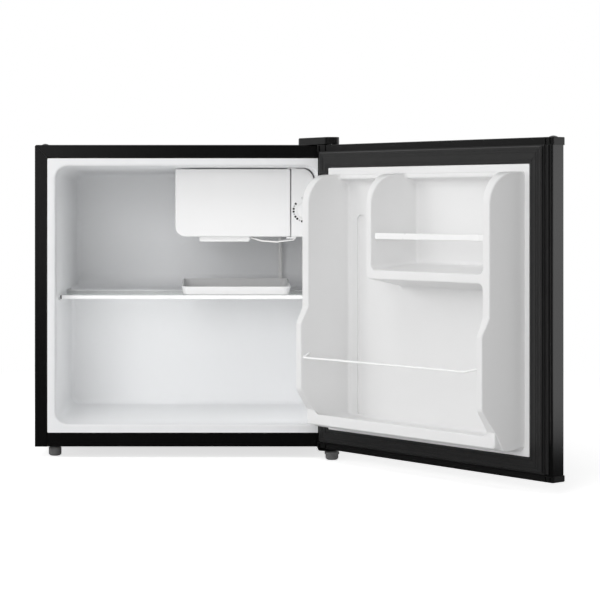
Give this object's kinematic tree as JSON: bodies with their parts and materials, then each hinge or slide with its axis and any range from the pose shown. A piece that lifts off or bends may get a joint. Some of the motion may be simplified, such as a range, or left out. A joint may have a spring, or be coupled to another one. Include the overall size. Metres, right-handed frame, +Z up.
{
  "type": "mini fridge",
  "caption": "Compact single-door refrigerator standing open, with glass shelf, freezer box behind a small flap, drip tray and moulded door pockets.",
  "frame": {"origin": "on the floor, in the middle of the whole footprint with the door standing open as stored", "axes": "+X to the right of someone facing the fridge, +Y from the front to the back, +Z up"},
  "size_m": [0.7559, 0.7964, 0.4981],
  "materials": {
    "cabinet_paint": "satin black coated steel",
    "plated_steel": "zinc plated",
    "galvanised_sheet": "dark coated sheet",
    "foam": "rigid polyurethane foam, closed in",
    "liner_white": "thermoformed white polystyrene",
    "flap_white": "moulded white plastic",
    "white_plastic": "moulded white plastic",
    "black_plastic": "moulded black plastic",
    "foot_plastic": "moulded dark grey plastic",
    "aluminium": "rolled sheet",
    "sleeve_clear": "translucent sleeve over copper",
    "glass": "clear toughened glass",
    "rubber": "black rubber",
    "compressor_black": "black enamel",
    "copper": "copper tube",
    "gasket": "dark grey soft vinyl",
    "magnet": "flexible ferrite strip",
    "wire_white": "white coated steel wire"
  },
  "bodies": {
    "cabinet": {"outer_wrapper": "cabinet_paint", "bottom_pan": "cabinet_paint", "compressor_bulkhead": "galvanised_sheet", "rear_panel": "galvanised_sheet", "cabinet_insulation": "foam", "inner_liner": "liner_white", "evaporator_box": "aluminium", "thermostat_housing": "white_plastic", "thermostat_switch": "plated_steel", "sensing_tube": "sleeve_clear", "suction_tube_sleeve": "sleeve_clear", "top_hinge_bracket": "cabinet_paint", "top_hinge_cover": "black_plastic", "bottom_hinge_bracket": "cabinet_paint", "door_hinge_pins": "plated_steel", "hole_plugs": "black_plastic", "rear_feet": "foot_plastic", "compressor_mount_plate": "galvanised_sheet", "compressor_shell": "compressor_black", "compressor_motor": "plated_steel", "compressor_grommets": "rubber", "compressor_bolts": "plated_steel", "terminal_cover": "black_plastic", "evaporation_pan": "black_plastic", "discharge_tube": "copper", "suction_line": "copper", "process_tube": "copper", "capillary_tube": "copper", "condenser_return": "copper", "filter_drier": "copper", "cord_gland": "black_plastic"},
    "door": {"door_panel": "cabinet_paint", "door_top_cap": "black_plastic", "door_bottom_cap": "black_plastic", "door_hinge_bushes": "black_plastic", "door_cap_plug": "black_plastic", "door_liner": "liner_white", "door_insulation": "foam", "door_gasket": "gasket", "gasket_magnets": "magnet", "upper_retainer_bar": "white_plastic", "wire_retainer": "wire_white"},
    "flap": {"freezer_flap": "flap_white"},
    "knob": {"thermostat_knob": "white_plastic"},
    "shelf": {"shelf_glass": "glass", "shelf_front_trim": "white_plastic", "shelf_rear_trim": "white_plastic"},
    "tray": {"drip_tray": "white_plastic"},
    "left_foot": {"front_left_foot": "foot_plastic"},
    "right_foot": {"front_right_foot": "foot_plastic"}
  },
  "joints": [
    {"name": "door_hinge", "type": "hinge", "parent": "cabinet", "child": "door", "pos_m": [0.0791, -0.0247, 0.25], "axis": [0, 0, 1], "range_deg": [-129.2, 8]},
    {"name": "freezer_flap_hinge", "type": "hinge", "parent": "cabinet", "child": "flap", "pos_m": [0.0191, 0.0688, 0.396], "axis": [0, 0, 1], "range_deg": [0, 90]},
    {"name": "thermostat_knob_turn", "type": "hinge", "parent": "cabinet", "child": "knob", "pos_m": [0.0446, 0.0653, 0.3848], "axis": [0, 1, 0], "range_deg": [0, 270]},
    {"name": "shelf_slide", "type": "slide", "parent": "cabinet", "child": "shelf", "axis": [0, -1, 0], "range_m": [0, 0.13]},
    {"name": "drip_tray_slide", "type": "slide", "parent": "shelf", "child": "tray", "axis": [0, -1, 0], "range_m": [0, 0.15]},
    {"name": "front_left_foot_turn", "type": "hinge", "parent": "cabinet", "child": "left_foot", "pos_m": [-0.3494, 0.0328, 0.005], "axis": [0, 0, 1], "continuous": true},
    {"name": "front_right_foot_turn", "type": "hinge", "parent": "cabinet", "child": "right_foot", "pos_m": [0.0831, -0.0162, 0.005], "axis": [0, 0, 1], "continuous": true}
  ]
}
